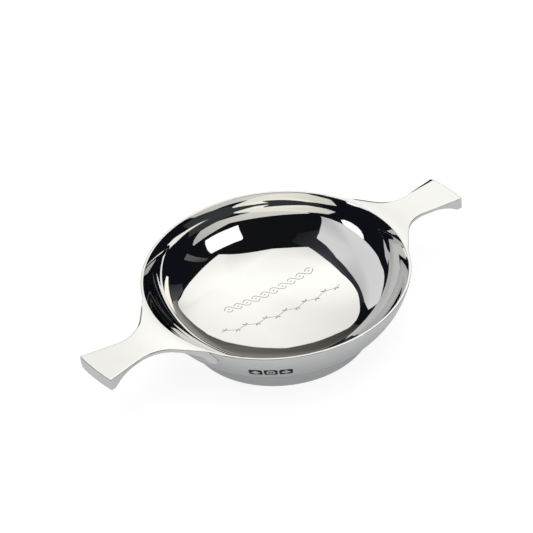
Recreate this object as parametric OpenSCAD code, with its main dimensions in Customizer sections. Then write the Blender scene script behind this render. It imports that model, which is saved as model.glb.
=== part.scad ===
// Quaich: a shallow two-handled drinking bowl in cast and turned pewter.
// The bowl, the foot ring and the two flat lugs are separate castings, joined with thin films of solder.
// Millimetres, +Z up, lugs along X, origin on the table under the middle of the bowl.

/* [Bowl] */
// Diameter of the bowl over the outside of its rim
bowl_d = 101.6; // [92:0.2:120]
// Height of the rim above the table
bowl_h = 26.3; // [24:0.1:30]
// Thickness of the wall at the rim, which ends in a full round
rim_t = 1.25; // [1:0.05:2]
// Radius of the dished floor, inside
floor_r = 131; // [110:1:180]
// Height of the middle of the floor above the table, inside
floor_z = 5.7; // [4.6:0.1:7]
// Thickness of the floor in the middle
floor_t = 1.5; // [1:0.1:1.8]
// Radius of the curve that turns the floor up into the wall, inside
wall_r = 27.2; // [24:0.2:30]
// Radius of the curve that turns the wall outward again under the rim, inside
lip_r = 32; // [24:1:60]
// Slope of the inside at the rim, in degrees from level
lip_slope = 54.6; // [50:0.2:60]
// Radius of the belly, outside, which thickens the wall towards the foot
belly_r = 31; // [28:0.5:35]
// Slope of the outside at the rim, in degrees from level
belly_slope = 76.7; // [74:0.1:80]

/* [Foot ring] */
// Diameter over the outside of the foot ring
foot_d = 69.8; // [62:0.2:74]
// Width of the face that the foot ring stands on
foot_w = 3; // [2:0.1:5]
// Size of the broken edges of that face
foot_edge = 0.4; // [0.2:0.1:0.8]

/* [Lugs] */
// Length of a lug from the rim to its tip
lug_span = 31.6; // [27:0.1:41]
// Width of a lug where it meets the rim
root_w = 43; // [34:0.5:50]
// Width of a lug at its narrowest
waist_w = 13; // [10:0.2:16]
// Distance of the narrowest place from the rim
waist_x = 14; // [11:0.1:17]
// Radius of the hollow at the narrowest place, seen from above
waist_r = 13.5; // [9:0.5:16]
// Width of a lug at its tip
tip_w = 18.6; // [16.4:0.1:24]
// Fall of a lug's top from the rim to the tip
lug_drop = 1.5; // [0:0.1:4]
// Thickness of a lug where it meets the bowl
root_t = 2.8; // [2.2:0.1:5]
// Thickness of a lug at its thinnest
lug_t = 1.5; // [1.3:0.1:2.2]
// Thickness of the toe under a lug's tip
toe_t = 5; // [4:0.1:9]
// Radius of the hollow sweep under a lug, down to its toe
sweep_r = 16; // [12:0.5:20]
// Distance from the rim to where that sweep starts
sweep_x = 19.2; // [17:0.1:22]
// How far a lug's top lies below the crown of the rim
rim_step = 0.2; // [0.1:0.05:0.4]

/* [Solder] */
// Thickness of the solder between two castings
solder_t = 0.2; // [0.1:0.05:0.4]

/* [Hidden] */
$fn = 96;

pewter = "#d6d6d2";
solder = "#b4b7b9";

// Plenty of length for shapes that are trimmed by others
reach = 4 * bowl_d;
// How far a round cuts past the place where it would just touch, so that the two faces cross cleanly
bite = 0.01;

bowl_r = bowl_d / 2;
rim_r = rim_t / 2;
rim_c = [bowl_r - rim_r, bowl_h - rim_r];
floor_c = [0, floor_z + floor_r];

// Where two circles cross, on the left of the way from the first centre to the second
function crossing(a, ra, b, rb) =
    let (way = b - a, gap = norm(way), along = (ra * ra - rb * rb + gap * gap) / (2 * gap))
    let (side = sqrt(ra * ra - along * along), u = way / gap)
    a + along * u + side * [-u[1], u[0]];

// Where the line from a point touches a circle, on the side that turn picks
function touch(point, centre, r, turn) =
    let (way = point - centre, swing = turn * acos(r / norm(way)), base = atan2(way[1], way[0]))
    centre + r * [cos(base + swing), sin(base + swing)];

// The lip's curve touches the rim's round, and the wall's curve touches the lip's and the floor's
lip_n = [sin(lip_slope), -cos(lip_slope)];
lip_c = rim_c + (lip_r - rim_r) * lip_n;
wall_c = crossing(lip_c, lip_r + wall_r, floor_c, floor_r - wall_r);
rim_over = rim_c - rim_c[0] / lip_n[0] * lip_n;

// The belly touches the rim's round on the outside
rim_n = [sin(belly_slope), -cos(belly_slope)];
belly_c = rim_c - (belly_r - rim_r) * rim_n;

foot_r = foot_d / 2;
foot_in = foot_r - foot_w;

// A lug's top is level over the rim and falls from there to the tip
tip_r = bowl_r + lug_span;
lug_fall = lug_drop / lug_span;
function lug_top(x) = bowl_h - rim_step - lug_fall * max(0, x - bowl_r);
toe_z = lug_top(tip_r) - toe_t;
sweep_start = bowl_r + sweep_x;
sweep_c = [sweep_start, lug_top(sweep_start) - lug_t - sweep_r];
root_low = [bowl_r, lug_top(bowl_r) - root_t];
sweep_touch = touch(root_low, sweep_c, sweep_r, -1);

// Plan of one side of a lug: a line from the rim, the hollow at the waist, a line to the tip.
// The line runs on into the bowl as far as its point nearest the axis, and past the tip.
waist_c = [bowl_r + waist_x, waist_w / 2 + waist_r];
root_end = [sqrt(bowl_r * bowl_r - root_w * root_w / 4), root_w / 2];
tip_end = [sqrt(tip_r * tip_r - tip_w * tip_w / 4), tip_w / 2];
root_touch = touch(root_end, waist_c, waist_r, 1);
tip_touch = touch(tip_end, waist_c, waist_r, -1);
root_way = (root_end - root_touch) / norm(root_end - root_touch);
root_run = root_end - (root_end * root_way) * root_way;
tip_run = 2 * tip_end - tip_touch;

function flip(points) = [for (i = [len(points) - 1:-1:0]) [points[i][0], -points[i][1]]];

// Half section of what lies under the floor's arc, out to the line where the wall takes over
module floor_slice(r) {
    way = (wall_c - floor_c) / norm(wall_c - floor_c);
    intersection() {
        translate(floor_c) circle(r, $fn = 360);
        polygon([floor_c, floor_c + reach * way, floor_c - [0, reach]]);
    }
}

// Half section of the space inside the bowl
module hollow_section() {
    floor_slice(floor_r);
    translate(wall_c) circle(wall_r + 2 * bite, $fn = 180);
    difference() {
        polygon([wall_c, lip_c, [rim_c[0], rim_over[1]], rim_over]);
        translate(lip_c) circle(lip_r - bite, $fn = 360);
    }
}

// Half section of the belly, full to the axis, grown by a gap
module belly_section(gap) {
    intersection() {
        translate(belly_c) circle(belly_r - bite + gap, $fn = 180);
        translate([0, -reach]) square(2 * reach);
    }
}

// Half section of the bowl: an even floor inside the foot ring, and the full belly from there to the rim
module bowl_section() {
    intersection() {
        difference() {
            union() {
                floor_slice(floor_r + floor_t);
                intersection() {
                    translate(wall_c) circle(wall_r + floor_t, $fn = 180);
                    translate([0, -reach]) square([foot_r, 2 * reach]);
                }
                intersection() {
                    belly_section(0);
                    translate([foot_in, -reach]) square(2 * reach);
                }
            }
            hollow_section();
        }
        polygon([[0, -reach], [reach, -reach], rim_c + reach * rim_n, rim_c, rim_over]);
    }
    translate(rim_c) circle(rim_r, $fn = 48);
}

// Half section of a foot ring that is not yet cut to the belly
module foot_blank_section() {
    polygon([
        [foot_in, foot_edge],
        [foot_in + foot_edge, 0],
        [foot_r - foot_edge, 0],
        [foot_r, foot_edge],
        [foot_r, belly_c[1]],
        [foot_in, belly_c[1]]
    ]);
}

// Half section of the solder between a lug and the bowl, all round
module lug_solder_section() {
    difference() {
        belly_section(solder_t);
        bowl_section();
        hollow_section();
        translate([0, rim_c[1]]) square([rim_c[0], reach]);
    }
}

// Plan of a lug, run on into the bowl and past the tip's round
module lug_plan() {
    side = [root_run, root_touch, waist_c, tip_touch, tip_run];
    intersection() {
        difference() {
            polygon(concat(side, flip(side)));
            for (y = [-1, 1]) translate([waist_c[0], y * waist_c[1]]) circle(waist_r + bite, $fn = 120);
        }
        circle(tip_r, $fn = 360);
    }
}

// Side view of a lug: the top, the toe under the tip, the hollow sweep and the straight run to the root
module lug_side() {
    outer = tip_r + toe_t;
    difference() {
        polygon([
            [0, lug_top(0)],
            [bowl_r, lug_top(bowl_r)],
            [outer, lug_top(outer)],
            [outer, toe_z],
            [sweep_touch[0], toe_z],
            sweep_touch,
            root_low,
            [0, root_low[1]]
        ]);
        translate(sweep_c) circle(sweep_r + bite, $fn = 240);
    }
}

// A lug that is not yet cut to the bowl
module lug_blank() {
    intersection() {
        linear_extrude(2 * bowl_h) lug_plan();
        rotate([90, 0, 0]) linear_extrude(2 * root_w, center = true) lug_side();
    }
}

module lug() {
    color(pewter) difference() {
        lug_blank();
        rotate_extrude() belly_section(solder_t);
    }
}

module lug_solder() {
    color(solder) intersection() {
        lug_blank();
        rotate_extrude() lug_solder_section();
    }
}

// The sub-parts
module bowl() {
    color(pewter) rotate_extrude() bowl_section();
}

module foot_ring() {
    color(pewter) rotate_extrude() difference() {
        foot_blank_section();
        belly_section(solder_t);
    }
}

module foot_solder() {
    color(solder) rotate_extrude() intersection() {
        foot_blank_section();
        difference() {
            belly_section(solder_t);
            belly_section(0);
        }
    }
}

module lug_right() { lug(); }
module lug_left() { rotate(180) lug(); }
module lug_right_solder() { lug_solder(); }
module lug_left_solder() { rotate(180) lug_solder(); }

bowl();
foot_ring();
foot_solder();
lug_left();
lug_right();
lug_left_solder();
lug_right_solder();
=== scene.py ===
"""A polished pewter quaich on a pale table, in soft studio light."""
import math

import bpy
from mathutils import Matrix, Vector


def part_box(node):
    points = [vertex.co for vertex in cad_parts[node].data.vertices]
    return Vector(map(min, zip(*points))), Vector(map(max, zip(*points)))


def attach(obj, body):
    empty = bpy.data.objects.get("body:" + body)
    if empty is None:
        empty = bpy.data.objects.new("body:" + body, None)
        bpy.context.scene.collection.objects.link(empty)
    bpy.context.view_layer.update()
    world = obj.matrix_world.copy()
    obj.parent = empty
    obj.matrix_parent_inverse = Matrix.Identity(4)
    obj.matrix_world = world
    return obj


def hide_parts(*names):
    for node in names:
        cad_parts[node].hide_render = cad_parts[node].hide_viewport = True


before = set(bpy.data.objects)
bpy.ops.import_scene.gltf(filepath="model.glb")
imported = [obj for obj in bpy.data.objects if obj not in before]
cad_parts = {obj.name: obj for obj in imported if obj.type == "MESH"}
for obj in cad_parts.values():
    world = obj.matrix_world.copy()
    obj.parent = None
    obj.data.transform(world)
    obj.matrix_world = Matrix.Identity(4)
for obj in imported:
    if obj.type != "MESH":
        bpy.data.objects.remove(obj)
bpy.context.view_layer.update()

MM = 0.001

# Sizes in millimetres. The outer ones come from the frame, the curves between them repeat the castings' own.
# Every piece stays a hair inside the box that the solids fill.
HAIR = 0.002
BOWL_R = min(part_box("bowl")[1].xy) / MM - HAIR
BOWL_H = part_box("bowl")[1].z / MM - HAIR
FOOT_R = min(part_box("foot_ring")[1].xy) / MM - HAIR
TIP_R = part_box("lug_right")[1].x / MM - HAIR
TOE_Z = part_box("lug_right")[0].z / MM + HAIR
RIM_T = 1.25
CROWN_EDGE = 0.28
FLOOR_R = 131
FLOOR_Z = 5.7
FLOOR_T = 1.5
WALL_R = 27.2
LIP_R = 32
LIP_SLOPE = 54.6
BELLY_R = 31
BELLY_SLOPE = 76.7
FOOT_W = 3
FOOT_EDGE = 0.4
ROOT_W = 43
WAIST_W = 13
WAIST_X = 14
WAIST_R = 13.5


def flat(x, z):
    """A point of a section or plan, in millimetres."""
    return Vector((x, z))


def normal_out(slope):
    """Outward normal of a face of the bowl with a slope in degrees from level."""
    return flat(math.sin(math.radians(slope)), -math.cos(math.radians(slope)))


def crossing(a, ra, b, rb):
    """Where two circles cross, on the left of the way from the first centre to the second."""
    gap = (b - a).length
    way = (b - a) / gap
    along = (ra * ra - rb * rb + gap * gap) / (2 * gap)
    return a + along * way + math.sqrt(ra * ra - along * along) * flat(-way.y, way.x)


def touching(point, centre, r, turn):
    """Where the line from a point touches a circle, on the side that turn picks."""
    way = point - centre
    angle = math.atan2(way.y, way.x) + turn * math.acos(r / way.length)
    return centre + r * flat(math.cos(angle), math.sin(angle))


# Section of the bowl: the floor, the wall, the lip, the rim and the belly touch each other in turn.
# The rim's crown is flat, with an edge rounded on each side.
RIM_R = RIM_T / 2
RIM_C = flat(BOWL_R - RIM_R, BOWL_H - RIM_R)
FLOOR_C = flat(0, FLOOR_Z + FLOOR_R)
LIP_C = RIM_C + (LIP_R - RIM_R) * normal_out(LIP_SLOPE)
WALL_C = crossing(LIP_C, LIP_R + WALL_R, FLOOR_C, FLOOR_R - WALL_R)
LIP_LOW = WALL_C + WALL_R * (LIP_C - WALL_C).normalized()
EDGE_Z = BOWL_H - CROWN_EDGE
OUT_C = flat(BOWL_R - CROWN_EDGE, EDGE_Z)
BELLY_C = RIM_C - (BELLY_R - RIM_R) * normal_out(BELLY_SLOPE)
BELLY_C.x = OUT_C.x - math.sqrt((BELLY_R - CROWN_EDGE) ** 2 - (EDGE_Z - BELLY_C.y) ** 2)
IN_C = flat(LIP_C.x - math.sqrt((LIP_R - CROWN_EDGE) ** 2 - (EDGE_Z - LIP_C.y) ** 2), EDGE_Z)
RIM_IN = LIP_C + LIP_R * (IN_C - LIP_C).normalized()
RIM_OUT = BELLY_C + BELLY_R * (OUT_C - BELLY_C).normalized()
FOOT_IN = FOOT_R - FOOT_W


def floor_height(r, under=0.0):
    """Height of the dished floor at a radius, or of the face that lies under it."""
    return FLOOR_C.y - math.sqrt((FLOOR_R + under) ** 2 - r * r)


def belly_height(r):
    """Height of the belly at a radius, on its lower side."""
    return BELLY_C.y - math.sqrt(BELLY_R ** 2 - (r - BELLY_C.x) ** 2)


def belly_radius(z):
    """Radius of the outside at a height, over the belly and the rim's outer edge."""
    if z > RIM_OUT.y:
        return OUT_C.x + math.sqrt(max(0.0, CROWN_EDGE ** 2 - (z - OUT_C.y) ** 2))
    return BELLY_C.x + math.sqrt(BELLY_R ** 2 - (z - BELLY_C.y) ** 2)


# Modelling steps

# A fresh circle's corners lie on whole or quarter steps; this keeps rounding down clear of whole ones
STEP_OFFSET = 0.1


def start_point(name, at):
    """Starts a turned piece: a plane gathered into one point of its section, in edit mode."""
    bpy.ops.object.select_all(action="DESELECT")
    bpy.ops.mesh.primitive_plane_add(size=MM)
    piece = bpy.context.object
    piece.name = name
    piece.data.name = name
    bpy.ops.object.mode_set(mode="EDIT")
    bpy.ops.mesh.merge(type="CENTER")
    bpy.ops.transform.translate(value=(at.x * MM, 0, at.y * MM))
    return piece


def draw_line(start, end):
    """Draws the section on from one point to the next."""
    step = (end - start) * MM
    bpy.ops.mesh.extrude_region_move(TRANSFORM_OT_translate={"value": (step.x, 0, step.y)})


def draw_arc(start, end, centre, way, steps):
    """Draws the section on round a centre; way is 1 anticlockwise and -1 clockwise, seen from the front."""
    first, last = (math.atan2(p.y - centre.y, p.x - centre.x) for p in (start, end))
    turn = way * ((way * (last - first)) % (2 * math.pi))
    bpy.ops.mesh.spin(steps=steps, angle=turn, center=(centre.x * MM, 0, centre.y * MM), axis=(0, 1, 0))


def turn_on_lathe(steps):
    """Turns the drawn section once round the bowl's axis, and closes the seam and the poles."""
    bpy.ops.mesh.select_all(action="SELECT")
    bpy.ops.mesh.spin(steps=steps, angle=2 * math.pi, center=(0, 0, 0), axis=(0, 0, 1))
    bpy.ops.mesh.select_all(action="SELECT")
    bpy.ops.mesh.remove_doubles(threshold=MM / 1000)
    bpy.ops.mesh.normals_make_consistent(inside=False)
    bpy.ops.object.mode_set(mode="OBJECT")


def place_on_ring(at, count):
    """Which point of a ring a corner of a fresh circle stands for, counted anticlockwise."""
    return math.floor(math.atan2(at.y, at.x) / (2 * math.pi) * count + STEP_OFFSET) % count


def draw_rings(name, rings):
    """A closed solid, extruded from ring to ring, with every point laid to its place.

    The first half of a ring's points is its upper side and the rest its lower side.
    At both ends a bridge between the two sides closes it.
    """
    count = len(rings[0])
    bpy.ops.object.select_all(action="DESELECT")
    bpy.ops.mesh.primitive_circle_add(vertices=count, radius=MM)
    piece = bpy.context.object
    piece.name = name
    piece.data.name = name
    bpy.ops.object.mode_set(mode="EDIT")
    for _ in rings[1:]:
        bpy.ops.mesh.extrude_region_move(TRANSFORM_OT_translate={"value": (0, 0, MM)})
    bpy.ops.object.mode_set(mode="OBJECT")
    places = {}
    for vertex in piece.data.vertices:
        ring = round(vertex.co.z / MM)
        place = place_on_ring(vertex.co, count)
        places[vertex.index] = ring, place
        vertex.co = Vector(rings[ring][place]) * MM
    for end in (0, len(rings) - 1):
        close_end(piece, places, end, count)
    bpy.ops.object.mode_set(mode="EDIT")
    bpy.ops.mesh.select_all(action="SELECT")
    bpy.ops.mesh.normals_make_consistent(inside=False)
    bpy.ops.object.mode_set(mode="OBJECT")
    return piece


def close_end(piece, places, end, count):
    """Bridges the upper and the lower side of an end ring."""
    bpy.ops.object.mode_set(mode="EDIT")
    bpy.ops.mesh.select_mode(type="EDGE")
    bpy.ops.mesh.select_all(action="DESELECT")
    bpy.ops.object.mode_set(mode="OBJECT")
    for edge in piece.data.edges:
        (ring_a, a), (ring_b, b) = (places[v] for v in edge.vertices)
        same_side = (a < count // 2) == (b < count // 2)
        edge.select = ring_a == ring_b == end and same_side
    bpy.ops.object.mode_set(mode="EDIT")
    bpy.ops.mesh.bridge_edge_loops()
    bpy.ops.object.mode_set(mode="OBJECT")


def join(name, pieces):
    """Makes several meshes one named piece."""
    bpy.ops.object.select_all(action="DESELECT")
    for piece in pieces:
        piece.select_set(True)
    bpy.context.view_layer.objects.active = pieces[0]
    bpy.ops.object.join()
    pieces[0].name = name
    pieces[0].data.name = name
    return pieces[0]


def finish_piece(piece, slot, materials, *nodes, sharp=30):
    """Smooths a piece except at edges sharper than an angle, and gives it its finish and its place."""
    bpy.ops.object.select_all(action="DESELECT")
    piece.select_set(True)
    bpy.context.view_layer.objects.active = piece
    bpy.ops.object.shade_smooth_by_angle(angle=math.radians(sharp))
    for material in materials:
        piece.data.materials.append(material)
    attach(piece, "root")
    if nodes:
        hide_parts(*nodes)


# Materials

# Width of the clouds that handling leaves, in mm
CLOUD = 12


def colour(code):
    """An sRGB hex value as linear light."""
    parts = [int(code[i:i + 2], 16) / 255 for i in (1, 3, 5)]
    return [c / 12.92 if c <= 0.04045 else ((c + 0.055) / 1.055) ** 2.4 for c in parts] + [1]


def add(tree, kind, links=None, sockets=None, **settings):
    """Adds a node with its settings, its fixed sockets and its links from other nodes' outputs."""
    node = tree.nodes.new(kind)
    for key, value in settings.items():
        setattr(node, key, value)
    for key, value in (sockets or {}).items():
        node.inputs[key].default_value = value
    for key, value in (links or {}).items():
        tree.links.new(value, node.inputs[key])
    return node


def new_material(name):
    """A named material, with its nodes and its shader."""
    material = bpy.data.materials.new(name)
    material.use_nodes = True
    return material, material.node_tree, material.node_tree.nodes["Principled BSDF"]


def pewter(name, light, dark, rough, line, depth, lengthwise=False):
    """Pewter, a bright tin alloy: a clear mirror, a little soft, with fine lines left by the polishing mop.

    The lines run round the bowl's axis, or along a lug. line is their spacing and depth their height, in mm.
    Real ones lie closer together, and these are as coarse as they need to be to show.
    """
    material, tree, shader = new_material(name)
    place = add(tree, "ShaderNodeTexCoord").outputs["Object"]
    across = (0, 1, 0) if lengthwise else (1, 1, 0)
    kept = add(tree, "ShaderNodeVectorMath", {0: place}, {1: across}, operation="MULTIPLY").outputs[0]
    reach = add(tree, "ShaderNodeVectorMath", {0: kept}, operation="LENGTH").outputs["Value"]
    fine = {"Scale": 1 / (line * MM), "Detail": 3}
    lines = add(tree, "ShaderNodeTexNoise", {"W": reach}, fine, noise_dimensions="1D")
    bump = add(tree, "ShaderNodeBump", {"Height": lines.outputs[0]}, {"Distance": depth * MM, "Strength": 1})
    # Handling leaves faint clouds on a mirror
    broad = {"Scale": 1 / (CLOUD * MM), "Detail": 4, "Roughness": 0.6}
    clouds = add(tree, "ShaderNodeTexNoise", {"Vector": place}, broad)
    tint = add(tree, "ShaderNodeValToRGB", {0: clouds.outputs[0]})
    tint.color_ramp.elements[0].position = 0.3
    tint.color_ramp.elements[0].color = colour(dark)
    tint.color_ramp.elements[1].position = 0.7
    tint.color_ramp.elements[1].color = colour(light)
    limits = {"From Min": 0.3, "From Max": 0.75, "To Min": rough[0], "To Max": rough[1]}
    haze = add(tree, "ShaderNodeMapRange", {0: clouds.outputs[0]}, limits)
    shader.inputs["Metallic"].default_value = 1
    tree.links.new(tint.outputs[0], shader.inputs["Base Color"])
    tree.links.new(haze.outputs[0], shader.inputs["Roughness"])
    tree.links.new(bump.outputs[0], shader.inputs["Normal"])
    return material


# Turned on the lathe and mopped to a mirror, which shows the studio sharply
polished = pewter("pewter_turned_and_mopped", "#e2e2e0", "#dfdfdd", (0.02, 0.04), 0.6, 0.00003)
# A casting is filed and mopped by hand, so its mirror is a little softer
lug_finish = pewter(
    "pewter_cast_and_mopped", "#e2e2e0", "#dfdfdd", (0.03, 0.06), 0.5, 0.00004, lengthwise=True)
# The recess under the bowl is left as the tool cut it, so its rings show
turned = pewter("pewter_as_turned", "#cfcfcb", "#c4c4c1", (0.16, 0.24), 0.5, 0.002)
# Solder is softer and a little greyer than the castings, and is only wiped smooth
solder = pewter("soft_solder_wiped", "#d8d8d6", "#d2d2d1", (0.06, 0.1), 1.2, 0.0002)
# A graver leaves a bright but broken surface, which the roughness gives. The grey colour of the line is
# painted shade of its groove, as the strip lies flat on the bowl
cut = pewter("pewter_graver_cut_painted_groove_shade", "#a9a9a6", "#8c8c8a", (0.42, 0.55), 0.15, 0.001)
# The sunk ground of a struck mark is coloured nearly black
sunk = pewter("pewter_struck_and_darkened", "#2a2a2c", "#161618", (0.45, 0.6), 0.2, 0.002)

# Bowl

LATHE_STEPS = 320


def make_bowl():
    """The casting as it leaves the lathe, drawn from the middle of the floor over the rim to the recess."""
    middle = flat(0, FLOOR_Z)
    floor_end = FLOOR_C + FLOOR_R * (WALL_C - FLOOR_C).normalized()
    crown_in = flat(IN_C.x, BOWL_H)
    crown_out = flat(OUT_C.x, BOWL_H)
    seat = flat(FOOT_IN, belly_height(FOOT_IN))
    recess = flat(FOOT_IN, floor_height(FOOT_IN, FLOOR_T))
    under = flat(0, FLOOR_Z - FLOOR_T)
    bowl = start_point("bowl_casting", middle)
    draw_arc(middle, floor_end, FLOOR_C, way=1, steps=40)
    draw_arc(floor_end, LIP_LOW, WALL_C, way=1, steps=48)
    draw_arc(LIP_LOW, RIM_IN, LIP_C, way=-1, steps=16)
    draw_arc(RIM_IN, crown_in, IN_C, way=-1, steps=8)
    draw_line(crown_in, crown_out)
    draw_arc(crown_out, RIM_OUT, OUT_C, way=-1, steps=8)
    draw_arc(RIM_OUT, seat, BELLY_C, way=-1, steps=48)
    draw_line(seat, recess)
    draw_arc(recess, under, FLOOR_C, way=-1, steps=30)
    turn_on_lathe(LATHE_STEPS)
    finish_piece(bowl, "polished_pewter", [polished, turned], "bowl")
    for face in bowl.data.polygons:
        r = math.hypot(face.center.x, face.center.y) / MM
        if r < FOOT_IN + FOOT_EDGE and face.center.z / MM < floor_height(min(r, FOOT_IN), FLOOR_T / 2):
            face.material_index = 1


def make_foot():
    """The foot ring, with its edges broken round, cut to the belly that it carries."""
    gap = 0.1
    corners = [
        flat(FOOT_IN, FOOT_EDGE + HAIR),
        flat(FOOT_IN + FOOT_EDGE, HAIR),
        flat(FOOT_R - FOOT_EDGE, HAIR),
        flat(FOOT_R, FOOT_EDGE + HAIR),
        flat(FOOT_R, belly_height(FOOT_R) - gap),
        flat(FOOT_IN, belly_height(FOOT_IN) - gap),
    ]
    foot = start_point("foot_ring_casting", corners[0])
    draw_arc(corners[0], corners[1], flat(FOOT_IN + FOOT_EDGE, FOOT_EDGE + HAIR), way=1, steps=6)
    draw_line(corners[1], corners[2])
    draw_arc(corners[2], corners[3], flat(FOOT_R - FOOT_EDGE, FOOT_EDGE + HAIR), way=1, steps=6)
    draw_line(corners[3], corners[4])
    draw_arc(corners[4], corners[5], flat(BELLY_C.x, BELLY_C.y - gap), way=-1, steps=8)
    draw_line(corners[5], corners[0])
    turn_on_lathe(LATHE_STEPS)
    finish_piece(foot, "polished_pewter", [polished], "foot_ring")


def make_foot_solder():
    """The solder drawn into the corner between the foot ring and the belly, as a small hollow fillet.

    It is mopped together with the belly, so it has the same mirror.
    """
    size = 0.7
    bend = 1.2 * size
    low = flat(FOOT_R, belly_height(FOOT_R) - size)
    high = flat(FOOT_R + size, belly_height(FOOT_R + size))
    deep = flat(FOOT_R - size, belly_height(FOOT_R) - size / 2)
    middle = crossing(low, bend, high, bend)
    if (middle - deep).length < (low - deep).length:
        middle = crossing(high, bend, low, bend)
    fillet = start_point("foot_solder_fillet", low)
    draw_arc(low, high, middle, way=-1, steps=8)
    draw_line(high, deep)
    draw_line(deep, low)
    turn_on_lathe(LATHE_STEPS)
    finish_piece(fillet, "solder", [polished], "foot_solder")


make_bowl()
make_foot()
make_foot_solder()

# Lugs

# How far the top dips below the crown of the rim, and the distance at which it has half dipped
LUG_DIP = 1.75
LUG_DIP_EASE = 8
LUG_T = 1.45
ROOT_SWEEP_R = 4
TOE_SWEEP_R = 16
TOE_START = 70
# Edges are broken by this radius, and rounded by no more than a share of the lug's thickness
EDGE_R = 0.35
ROUND_SHARE = 0.45
# The end of the tip lies a little askew, from this radius on
TIP_SKEW = 0.05
SKEW_START = 60
# A flat on an edge widens from this radius on, and falls outward with this slope
FACET_START = 67
FACET_FALL = 0.28
# Points of a section's corners and faces, and sections along the lug
CORNER_STEPS = 5
FACE_STEPS = 16
ROOT_RINGS = 40
OUTER_RINGS = 70
TIP_RINGS = 6
CROWN_R = RIM_C.x
AXIS = flat(0, 0)
WAIST_C = flat(BOWL_R + WAIST_X, WAIST_W / 2 + WAIST_R)
ROOT_END = flat(math.sqrt(BOWL_R ** 2 - ROOT_W ** 2 / 4), ROOT_W / 2)
ROOT_TOUCH = touching(ROOT_END, WAIST_C, WAIST_R, 1)


def on_line(point, way, r, turn):
    """Where a line comes to a radius from the bowl's axis; turn picks the first or the second place."""
    along = point.dot(way)
    return point + (-along + turn * math.sqrt(along * along - point.length_squared + r * r)) * way


def root_line_at(r):
    """Where the straight edge of a lug's root comes to a radius, seen from above."""
    return on_line(ROOT_END, (ROOT_END - ROOT_TOUCH).normalized(), r, -1)


def lug_half(r, tip_half):
    """Half width of a lug along the arc at a radius: a line, the waist's hollow, a line to the tip."""
    tip = flat(math.sqrt(TIP_R ** 2 - tip_half ** 2), tip_half)
    tip_touch = touching(tip, WAIST_C, WAIST_R, -1)
    if r < ROOT_TOUCH.length:
        edge = root_line_at(r)
    elif r < tip_touch.length:
        edge = crossing(WAIST_C, WAIST_R, AXIS, r)
    else:
        edge = on_line(tip, (tip - tip_touch).normalized(), r, 1)
    return r * math.atan2(edge.y, edge.x)


def sweep(out, r):
    """Depth of a hollow sweep of a radius, at a distance past its start."""
    out = min(max(out, 0.0), r)
    return r - math.sqrt(r * r - out * out)


def lug_top(r):
    """Top of a lug: it leaves the crown of the rim level, dips, and runs nearly level again to the tip."""
    out = max(0.0, r - CROWN_R)
    return BOWL_H - HAIR - LUG_DIP * out * out / (out * out + LUG_DIP_EASE ** 2)


def lug_bottom(r):
    """Underside of a lug: thin, with a hollow sweep into the belly and another down to the toe."""
    thick = LUG_T + sweep(BOWL_R + ROOT_SWEEP_R - r, ROOT_SWEEP_R) + sweep(r - TOE_START, TOE_SWEEP_R)
    return max(TOE_Z, lug_top(r) - thick)


def corner(s, z, r, out_s, out_z):
    """A rounded corner of a lug's section, from the side that faces out_s to the one that faces out_z."""
    turns = [math.pi / 2 * i / CORNER_STEPS for i in range(CORNER_STEPS + 1)]
    return [(s - out_s * r * (1 - math.cos(t)), z - out_z * r * (1 - math.sin(t))) for t in turns]


def between(a, b, count):
    """Points that part the way between two points of a section into equal steps, without its ends."""
    return [(a[0] + (b[0] - a[0]) * i / count, a[1] + (b[1] - a[1]) * i / count) for i in range(1, count)]


def lug_section(r, inset, halves, low_rounds, facet):
    """One section of a lug at a radius, as points in space.

    inset draws it in where the tip's edge is rounded.
    """
    top = lug_top(r) - inset
    bottom = lug_bottom(r) + inset
    toe = min(max((r - TOE_START) / (TIP_R - TOE_START), 0.0), 1.0)
    low, high = (lug_half(min(r, TIP_R - EDGE_R), half) - inset for half in halves)
    most = ROUND_SHARE * (top - bottom)
    rounds = [min(EDGE_R + (size - EDGE_R) * toe, most) for size in low_rounds]
    flat_w = facet * max(0.0, (r - FACET_START) / (TIP_R - FACET_START))
    upper_low = corner(-low, top, min(EDGE_R, most), -1, 1)
    upper_high = corner(high, top, min(EDGE_R, most), 1, 1)
    if flat_w > EDGE_R:
        ends = (high, top - FACET_FALL * flat_w), (high - flat_w, top)
        upper_high = [ends[0]] + between(*ends, CORNER_STEPS) + [ends[1]]
    under_low = corner(-low, bottom, rounds[0], -1, -1)
    under_high = corner(high, bottom, rounds[1], 1, -1)
    upper = upper_low + between(upper_low[-1], upper_high[-1], FACE_STEPS) + upper_high[::-1]
    under = under_high + between(under_high[-1], under_low[-1], FACE_STEPS) + under_low[::-1]
    skew = TIP_SKEW * max(0.0, (r - SKEW_START) / (TIP_R - SKEW_START)) ** 2
    points = []
    for s, z in upper + under:
        out = r - skew * (s + skew * r / 2)
        points.append((out * math.cos(s / r), out * math.sin(s / r), z))
    return points


def make_lug(name, halves, low_rounds, facet=0.0):
    """A lug on the +X side, with its half widths at the tip and the rounds under it, on the -Y and +Y sides.

    facet is the width of a flat on its +Y edge.
    """
    root = ROOT_TOUCH.length
    near_rim = [CROWN_R + (root - CROWN_R) * (i / ROOT_RINGS) ** 2 for i in range(ROOT_RINGS)]
    outer = [root + (TIP_R - EDGE_R - root) * i / OUTER_RINGS for i in range(OUTER_RINGS)]
    rings = [lug_section(r, 0.0, halves, low_rounds, facet) for r in near_rim + outer]
    for i in range(TIP_RINGS + 1):
        t = math.pi / 2 * i / TIP_RINGS
        r = TIP_R - EDGE_R * (1 - math.sin(t))
        rings.append(lug_section(r, EDGE_R * (1 - math.cos(t)), halves, low_rounds, facet))
    return draw_rings(name, rings)


def turn_half(piece):
    """Turns a finished mesh half round the bowl's axis."""
    piece.data.transform(Matrix.Rotation(math.pi, 4, "Z"))
    return piece


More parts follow.
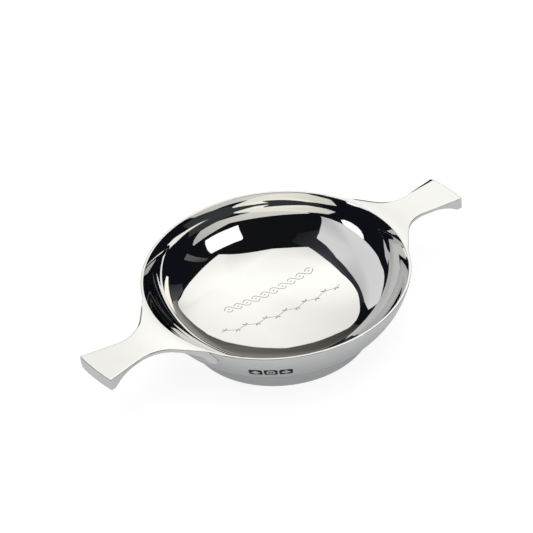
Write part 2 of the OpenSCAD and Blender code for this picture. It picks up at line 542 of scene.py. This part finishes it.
def make_lug_solder(name):
    """The seam of solder where a lug's sides and underside meet the bowl, a fine rounded bead."""
    bead_r = 0.15
    side_steps = 12
    under_steps = 20
    bead_sides = 10
    low_z = lug_bottom(BOWL_R)
    high_z = RIM_OUT.y
    side = []
    for i in range(side_steps + 1):
        z = high_z + (low_z - high_z) * i / side_steps
        p = root_line_at(max(belly_radius(z), CROWN_R))
        side.append(Vector((p.x, p.y, z)))
    half = math.atan2(side[-1].y, side[-1].x)
    r = math.hypot(side[-1].x, side[-1].y)
    angles = [half * k / under_steps for k in range(under_steps - 1, -under_steps, -1)]
    under = [Vector((r * math.cos(a), r * math.sin(a), low_z)) for a in angles]
    path = side + under + [Vector((p.x, -p.y, p.z)) for p in reversed(side)]
    rings = []
    for i, p in enumerate(path):
        ahead = (path[min(i + 1, len(path) - 1)] - path[max(i - 1, 0)]).normalized()
        across = ahead.cross(Vector((p.x, p.y, 0))).normalized()
        up = across.cross(ahead)
        turns = [2 * math.pi * k / bead_sides for k in range(bead_sides)]
        rings.append([p + bead_r * (math.cos(t) * across + math.sin(t) * up) for t in turns])
    return draw_rings(name, rings)


right = make_lug("lug_right_casting", halves=(8.5, 9.4), low_rounds=(0.6, 0.6), facet=1.7)
finish_piece(right, "polished_pewter", [lug_finish], "lug_right", sharp=24)
left = turn_half(make_lug("lug_left_casting", halves=(9.8, 9.4), low_rounds=(4.2, 0.6)))
finish_piece(left, "polished_pewter", [lug_finish], "lug_left", sharp=24)
right_seam = make_lug_solder("lug_right_solder_seam")
finish_piece(right_seam, "solder", [solder], "lug_right_solder", sharp=60)
left_seam = turn_half(make_lug_solder("lug_left_solder_seam"))
finish_piece(left_seam, "solder", [solder], "lug_left_solder", sharp=60)

# Cut and struck ornament on the bowl

# Half width of a cut line, how far each kind of ornament stands proud, and how deep it is let in
CUT_HALF = 0.14
CUT_LIFT = 0.012
SUNK_LIFT = 0.012
DEVICE_LIFT = 0.03
LET_IN = 0.048
# Share of the way between two crossings that a strand leaves free, on each side, where it passes under
UNDER_GAP = 0.16
# Place of the middle of the struck row
MARK_AZIMUTH = math.radians(-129.2)
MARK_Z = 17.3


def on_floor(spot, lift):
    """A spot of the bowl's plan, laid on its floor."""
    return Vector((spot.x, spot.y, floor_height(spot.length) + lift))


def on_belly(spot, lift):
    """A spot laid on the belly: its first distance runs round from the marks' middle, its second up."""
    turn = math.asin((MARK_Z - BELLY_C.y) / BELLY_R) + spot.y / BELLY_R
    angle = MARK_AZIMUTH + spot.x / belly_radius(MARK_Z)
    r = BELLY_C.x + (BELLY_R + lift) * math.cos(turn)
    return Vector((r * math.cos(angle), r * math.sin(angle), BELLY_C.y + (BELLY_R + lift) * math.sin(turn)))


def stroke(lay, path, halves, lift, across=2):
    """A thin strip let into a face of the bowl along a path, with a half width at each of its points."""
    rings = []
    for i, spot in enumerate(path):
        ahead = (path[min(i + 1, len(path) - 1)] - path[max(i - 1, 0)]).normalized()
        aside = flat(-ahead.y, ahead.x) * halves[i]
        row = [spot + aside * (1 - 2 * k / (across - 1)) for k in range(across)]
        rings.append([lay(q, lift) for q in row] + [lay(q, -LET_IN) for q in reversed(row)])
    return draw_rings("stroke", rings)


def along(start, end, t, aside=0.0):
    """A spot on the way between two others, moved to its left."""
    way = end - start
    return start + t * way + aside * flat(-way.y, way.x).normalized()


def disc(lay, middle, r, lift):
    """A round dot."""
    rows = 9
    turns = [math.pi * (i + 0.5) / rows for i in range(rows)]
    path = [middle - flat(r * math.cos(t), 0) for t in turns]
    return stroke(lay, path, [r * math.sin(t) for t in turns], lift)


def make_plait(start, end, waves, swing):
    """Two strands that pass over and under each other, with a dot in every eye."""
    steps = 20
    crossings = 2 * waves
    gap = UNDER_GAP / crossings
    pieces = []
    for side in (0, 1):
        breaks = [k / crossings for k in range(1, crossings) if k % 2 == side]
        starts = [gap * side] + [t + gap for t in breaks]
        ends = [t - gap for t in breaks] + [1 - gap * side]
        for first, last in zip(starts, ends):
            spots = [first + (last - first) * i / steps for i in range(steps + 1)]
            turns = [swing * (1 - 2 * side) * math.sin(math.pi * crossings * t) for t in spots]
            path = [along(start, end, t, turn) for t, turn in zip(spots, turns)]
            pieces.append(stroke(on_floor, path, [CUT_HALF] * len(path), CUT_LIFT))
    for k in range(crossings):
        pieces.append(disc(on_floor, along(start, end, (k + 0.5) / crossings), 2 * CUT_HALF, CUT_LIFT))
    return join("floor_plait_cut", pieces)


def make_vine(start, end, waves, swing, leaf):
    """A waving stem with a pair of pointed leaves at each turn."""
    steps = 24 * waves
    spots = [i / steps for i in range(steps + 1)]
    path = [along(start, end, t, swing * math.sin(2 * math.pi * waves * t)) for t in spots]
    stem_half = 0.8 * CUT_HALF
    pieces = [stroke(on_floor, path, [stem_half] * len(path), CUT_LIFT)]
    ahead = (end - start).normalized()
    leaf_steps, leaf_rise, point_half, leaf_half = 8, 0.7, 0.02, 0.24 * leaf
    for k in range(2 * waves):
        up = 1 - 2 * (k % 2)
        foot = along(start, end, (k + 0.5) / (2 * waves), up * (swing + 2 * CUT_HALF))
        for lean in (-1, 1):
            way = lean * ahead + up * leaf_rise * flat(-ahead.y, ahead.x)
            shares = [i / leaf_steps for i in range(leaf_steps + 1)]
            blade = [foot + leaf * way * t for t in shares]
            halves = [point_half + leaf_half * math.sin(math.pi * t) for t in shares]
            pieces.append(stroke(on_floor, blade, halves, CUT_LIFT))
    return join("floor_vine_cut", pieces)


def make_marks():
    """Three struck cartouches in a row on the belly, with a lozenge, a ring and four dots raised in them."""
    pitch, wide, tall, round_r = 5.6, 5.0, 4.6, 0.8
    field_steps = 24
    # Keeps the root below real at the ends of a field
    least = 0.01
    fields = []
    for k in (-1, 0, 1):
        steps = [wide * (i / field_steps - 0.5) for i in range(field_steps + 1)]
        short = [max(0.0, abs(x) - wide / 2 + round_r) for x in steps]
        halves = [tall / 2 - round_r + math.sqrt(max(least, round_r ** 2 - d * d)) for d in short]
        fields.append(stroke(on_belly, [flat(k * pitch + x, 0) for x in steps], halves, SUNK_LIFT, across=9))
    field = join("struck_fields", fields)
    lozenge_long, lozenge_tall, lozenge_fall = 1.7, 1.53, 1 / 1.15
    ring_r, ring_half, eye_r = 1.3, 0.32, 0.45
    dot_off, dot_r = 0.95, 0.62
    lozenge_rows, ring_steps = 16, 32
    rows = [lozenge_long * (2 * i / lozenge_rows - 1) for i in range(lozenge_rows + 1)]
    halves = [lozenge_tall - abs(x) * lozenge_fall for x in rows]
    lozenge = stroke(on_belly, [flat(x - pitch, 0) for x in rows], halves, DEVICE_LIFT, across=5)
    turns = [2 * math.pi * i / ring_steps for i in range(ring_steps + 1)]
    round_path = [ring_r * flat(math.cos(t), math.sin(t)) for t in turns]
    ring = stroke(on_belly, round_path, [ring_half] * len(turns), DEVICE_LIFT)
    devices = [lozenge, ring, disc(on_belly, flat(0, 0), eye_r, DEVICE_LIFT)]
    for x, y in ((dot_off, 0), (-dot_off, 0), (0, dot_off), (0, -dot_off)):
        devices.append(disc(on_belly, flat(pitch + x, y), dot_r, DEVICE_LIFT))
    return field, join("struck_devices", devices)


# Both ornaments take the cut finish, whose grey colour is painted shade of the grooves that the flat strips
# leave out
plait = make_plait(flat(-15.4, 14.1), flat(24.6, 11.6), waves=5, swing=1.55)
finish_piece(plait, "polished_pewter", [cut])
vine = make_vine(flat(-24.2, 3.7), flat(26.6, -2.9), waves=6, swing=0.5, leaf=1.1)
finish_piece(vine, "polished_pewter", [cut])
struck_fields, struck_devices = make_marks()
finish_piece(struck_fields, "polished_pewter", [sunk])
finish_piece(struck_devices, "polished_pewter", [polished])

# Camera, as the photograph was taken

# Degrees and millimetres; the aim is how far the camera is moved aside and up
CAMERA_AZIMUTH = -32.912
CAMERA_ELEVATION = 38.119
CAMERA_ROLL = -5.273
CAMERA_DISTANCE = 1294.64
CAMERA_AIM = (-5.343, 22.857)
CAMERA_LENS = 230.84
SENSOR = 36


def make_camera():
    """Sets the camera back from the bowl along its line of sight, and aside and up to frame it."""
    a, e, roll = (math.radians(v) for v in (CAMERA_AZIMUTH, CAMERA_ELEVATION, CAMERA_ROLL))
    back = Vector((math.sin(a) * math.cos(e), -math.cos(a) * math.cos(e), math.sin(e)))
    level = Vector((math.cos(a), math.sin(a), 0))
    rise = back.cross(level)
    side = math.cos(roll) * level + math.sin(roll) * rise
    up = math.cos(roll) * rise - math.sin(roll) * level
    eye = (back * CAMERA_DISTANCE + CAMERA_AIM[0] * side + CAMERA_AIM[1] * up) * MM
    bpy.ops.object.camera_add()
    camera = bpy.context.object
    camera.data.lens = CAMERA_LENS
    camera.data.sensor_width = SENSOR
    camera.data.clip_end = 100
    camera.matrix_world = Matrix.Translation(eye) @ Matrix((side, up, back)).transposed().to_4x4()
    bpy.context.scene.camera = camera


make_camera()

# Studio

# Distances of the cards in metres: those that another may cover stand farther out
STUDIO_R = 3.0
COVERED_R = 3.3
WALL_CARD_R = 4
CEILING_R = 5


def light_card(name, corners, tone, strength, away=STUDIO_R, heart=None):
    """A lit card, seen from the bowl as a patch with corners: azimuth from +X towards +Y, and elevation.

    A corner may also have a level, the share of the card's strength that it glows with.
    The middle's level is heart, or the mean of the corners.
    """
    count = len(corners)
    bpy.ops.object.select_all(action="DESELECT")
    bpy.ops.mesh.primitive_circle_add(vertices=count, radius=1, fill_type="TRIFAN")
    card = bpy.context.object
    card.name = name
    ways = []
    for azimuth, elevation, *_ in corners:
        a, e = math.radians(azimuth), math.radians(elevation)
        ways.append(Vector((math.cos(a) * math.cos(e), math.sin(a) * math.cos(e), math.sin(e))))
    levels = [corner[2] if len(corner) > 2 else 1.0 for corner in corners]
    heart = sum(levels) / count if heart is None else heart
    middle = sum(ways, Vector()).normalized()
    share = card.data.attributes.new("level", "FLOAT", "POINT")
    for vertex in card.data.vertices:
        place = place_on_ring(vertex.co, count)
        outer = vertex.co.length > 0.5
        vertex.co = (ways[place] if outer else middle) * away
        share.data[vertex.index].value = levels[place] if outer else heart
    material, tree, shader = new_material(name)
    tree.nodes.remove(shader)
    level = add(tree, "ShaderNodeAttribute", attribute_name="level").outputs["Fac"]
    power = add(tree, "ShaderNodeMath", {0: level}, {1: strength}, operation="MULTIPLY")
    glow = add(tree, "ShaderNodeEmission", {"Strength": power.outputs[0]}, {"Color": colour(tone)})
    tree.links.new(glow.outputs[0], tree.nodes["Material Output"].inputs["Surface"])
    card.data.materials.append(material)
    card.visible_camera = False
    card.visible_diffuse = False
    card.visible_shadow = False


def make_floor():
    """A pale table. What the camera sees of it is close to white, and it keeps a soft shadow.

    The metal mirrors it as a light grey.
    """
    seen_share, seen_power = 0.8, 1.13
    mirrored_share, mirrored_power = 0.6, 0.6
    bpy.ops.object.select_all(action="DESELECT")
    bpy.ops.mesh.primitive_plane_add(size=40)
    table = bpy.context.object
    table.name = "table"
    material, tree, shader = new_material("table_pale")
    shader.inputs["Base Color"].default_value = colour("#f2f2f0")
    shader.inputs["Roughness"].default_value = 0.9
    shader.inputs["Specular IOR Level"].default_value = 0
    ray = add(tree, "ShaderNodeLightPath").outputs
    white = add(tree, "ShaderNodeEmission", None, {"Color": (1, 1, 1, 1), "Strength": seen_power})
    grey = add(tree, "ShaderNodeEmission", None, {"Color": colour("#f3f5fa"), "Strength": mirrored_power})
    seen = add(tree, "ShaderNodeMath", {0: ray["Is Camera Ray"]}, {1: seen_share}, operation="MULTIPLY")
    glossy = ray["Is Glossy Ray"]
    mirrored = add(tree, "ShaderNodeMath", {0: glossy}, {1: mirrored_share}, operation="MULTIPLY")
    plain = add(tree, "ShaderNodeMixShader", {0: seen.outputs[0], 1: shader.outputs[0], 2: white.outputs[0]})
    mix = add(tree, "ShaderNodeMixShader", {0: mirrored.outputs[0], 1: plain.outputs[0], 2: grey.outputs[0]})
    tree.links.new(mix.outputs[0], tree.nodes["Material Output"].inputs["Surface"])
    table.data.materials.append(material)


def make_fill():
    """A broad lamp overhead, which lights the table and is not mirrored in the metal."""
    bpy.ops.object.light_add(type="AREA", location=(0, 0, 1.6))
    lamp = bpy.context.object
    lamp.data.shape = "DISK"
    lamp.data.size = 2.4
    lamp.data.energy = 36
    lamp.visible_camera = False
    lamp.visible_glossy = False


def make_world():
    """A dark surround for the metal to mirror, which the camera itself sees as white."""
    world = bpy.data.worlds.new("studio_dark")
    bpy.context.scene.world = world
    world.use_nodes = True
    tree = world.node_tree
    ray = add(tree, "ShaderNodeLightPath").outputs
    dim = add(tree, "ShaderNodeBackground", None, {"Color": (0.006, 0.007, 0.011, 1), "Strength": 1})
    white = add(tree, "ShaderNodeBackground", None, {"Color": (1, 1, 1, 1), "Strength": 1})
    mix = add(tree, "ShaderNodeMixShader", {0: ray["Is Camera Ray"], 1: dim.outputs[0], 2: white.outputs[0]})
    tree.links.new(mix.outputs[0], tree.nodes["World Output"].inputs["Surface"])


make_floor()
make_fill()
make_world()
# What the mirror-bright metal shows: a softbox behind the bowl, a pale panel with a window on the left,
# a band, a strip and a lamp in front, a low light on the right, and dim greys and table edges between them.
light_card(
    "wall_behind",
    [(74, 30, 0.3), (79, 48), (100, 66), (130, 75, 0.8), (175, 79, 0.3), (-165, 66, 0.2),
     (178, 50, 0.4), (140, 56), (100, 48), (82, 32, 0.5)],
    "#e2ecff", 0.085, away=WALL_CARD_R)
light_card(
    "softbox_behind",
    [(-30, 60.5, 0.8), (-20, 57.4, 0.83), (-10, 52.8, 0.85), (-1, 46.9, 0.87), (5, 40.7, 0.88),
     (10, 34.4, 0.86), (14.5, 29, 0.83), (17, 23.5, 0.75), (19.5, 21.8, 0.66), (23, 21.9, 0.7),
     (28, 23, 0.76), (32.5, 24, 0.8), (37.5, 25, 0.82), (42, 26.3, 0.83), (44.5, 26, 0.84),
     (47.5, 24, 0.84), (52.5, 22, 0.84), (57.5, 20.4, 0.83), (62.5, 21.5, 0.78), (67.5, 23.6, 0.74),
     (71.5, 24.6, 0.7), (74, 28, 0.7), (75.6, 33, 0.78), (78.2, 38, 0.88), (79.8, 44, 0.95), (81, 50),
     (84.5, 54, 0.97), (89.5, 58, 0.88), (94.8, 62, 0.84), (103, 66, 0.78), (116, 70.3, 0.72),
     (130, 73.3, 0.7), (122, 78, 0.72), (105, 81.7, 0.76), (80, 84, 0.8), (55, 84.8, 0.8),
     (30, 83.3, 0.78), (12, 80.5, 0.76), (0, 77.5, 0.74), (-12, 73.5, 0.72), (-22, 68.5, 0.72),
     (-28, 64, 0.76)],
    "#fffefb", 1.36, heart=1.0)
light_card(
    "panel_left",
    [(79.5, 20), (80, 30, 0.8), (82.5, 35.5, 0.75), (87.5, 43.8, 0.75), (92.5, 49, 0.8),
     (98, 52.5, 0.9), (110, 58.5), (120, 60.4), (140, 62.6), (150, 63.2), (160, 63.3), (165, 62.9),
     (170, 60), (174, 56), (180, 49, 0.9), (-176, 41.4, 0.8), (-173.7, 36.5, 0.75), (-171, 32.8, 0.7),
     (180, 31.4, 0.8), (170, 30.3), (160, 30), (138, 26.4), (120, 21), (112.5, 19.2), (107.5, 16.6),
     (102, 15), (96, 14.2), (90, 13.2), (85, 12)],
    "#fdfdff", 0.87, heart=0.94)
light_card(
    "window_left",
    [(141.3, 26.6), (145, 29), (160, 30.3), (166, 30), (171, 26.1), (168.7, 23.6), (162.5, 21.9),
     (155, 21.3), (150, 21.9), (145, 24)],
    "#ffffff", 1.35)
light_card(
    "strip_front",
    [(-160, 32.5, 1.1), (-148, 34.8, 1.1), (-120, 34.9, 1.1), (-100, 35.2, 1.1), (-85, 34.4),
     (-65, 33.4, 0.95), (-52, 32.2, 0.85), (-41.5, 31, 0.75), (-42, 29, 0.7), (-46.5, 26.3, 0.72),
     (-52, 24.5, 0.78), (-58, 22.7, 0.8), (-65, 23.4, 0.85), (-75, 24.8, 0.9), (-82, 26.5, 0.92),
     (-92, 28.2, 0.95), (-110, 29, 1.1), (-150, 29, 1.1)],
    "#fffdf8", 0.78, away=COVERED_R)
light_card(
    "band_front",
    [(179, 18.8, 0.62), (-176, 26, 0.65), (-166, 29, 0.75), (-158, 31.5, 0.8), (-148, 32.5, 0.85),
     (-135, 33, 0.9), (-120, 32.6, 0.9), (-110, 30.8, 0.85), (-101, 27.5, 0.88), (-95, 25.5, 0.85),
     (-91, 23.2, 0.85), (-92, 22, 0.85), (-110, 21.7), (-130, 21.8), (-150, 21.4), (-163, 20.6, 0.8),
     (-172, 19.2, 0.65)],
    "#fffcf2", 1.22)
light_card(
    "ledge_front",
    [(-170, 17, 0.6), (-150, 21.8), (-90, 22), (-58, 23, 0.8), (-45, 18, 0.8), (-50, 12), (-100, 12),
     (-150, 12)],
    "#f2f6ff", 0.055, away=COVERED_R)
light_card(
    "lamp_front",
    [(-73, 65.3), (-60, 62.9), (-45, 58.7), (-34, 53.6), (-40, 48.3), (-47.5, 41.4), (-51.5, 37.6),
     (-60, 39.2), (-70, 41), (-88.7, 43), (-86.2, 49.7), (-81.2, 60), (-77.5, 63.8)],
    "#ffffff", 1.4)
light_card(
    "table_front",
    [(-25, 5.5), (-34, 9), (-45, 11), (-68, 15.6), (-76, 16), (-60, 5), (-40, 0.5)],
    "#fffdf6", 1.1)
light_card(
    "table_left",
    [(129, 4.5), (124, 8.8), (117, 11.6), (110, 10), (115, 6), (122, 4)],
    "#f6f8ff", 0.62)
light_card(
    "stand_right",
    [(-25, 54, 0.6), (-20, 52, 0.4), (-24, 30), (-31, 30), (-28, 45)],
    "#ffffff", 0.14)
light_card(
    "shade_right",
    [(2, 17, 0.3), (16, 17), (16, 23, 0.9), (9.5, 33, 0.7), (2, 33, 0.3)],
    "#eaf0ff", 0.12, away=COVERED_R)
light_card(
    "low_right",
    [(-4, 16), (15, 15.8, 0.85), (20, 14.2), (31, 10), (12, 8.5), (1, 11.6), (-4, 13.4)],
    "#fffaec", 1.35, heart=0.94)
light_card(
    "grey_right",
    [(15, 24, 0.3), (19, 22.5, 0.4), (30, 24.5, 0.2), (43, 27, 0.2), (48, 24.5, 0.22), (57, 21, 0.18),
     (70, 24.5, 0.1), (73, 14, 0.1), (67, 11.5, 0.6), (50, 11.5), (30, 11.5, 1.1), (20, 13),
     (15.5, 17, 0.7)],
    "#fffaf0", 0.46, away=COVERED_R)
light_card("ceiling", [(a, 40, 0.4) for a in range(0, 360, 30)], "#eef2ff", 0.022, away=CEILING_R)

bpy.context.scene.view_settings.view_transform = "Standard"
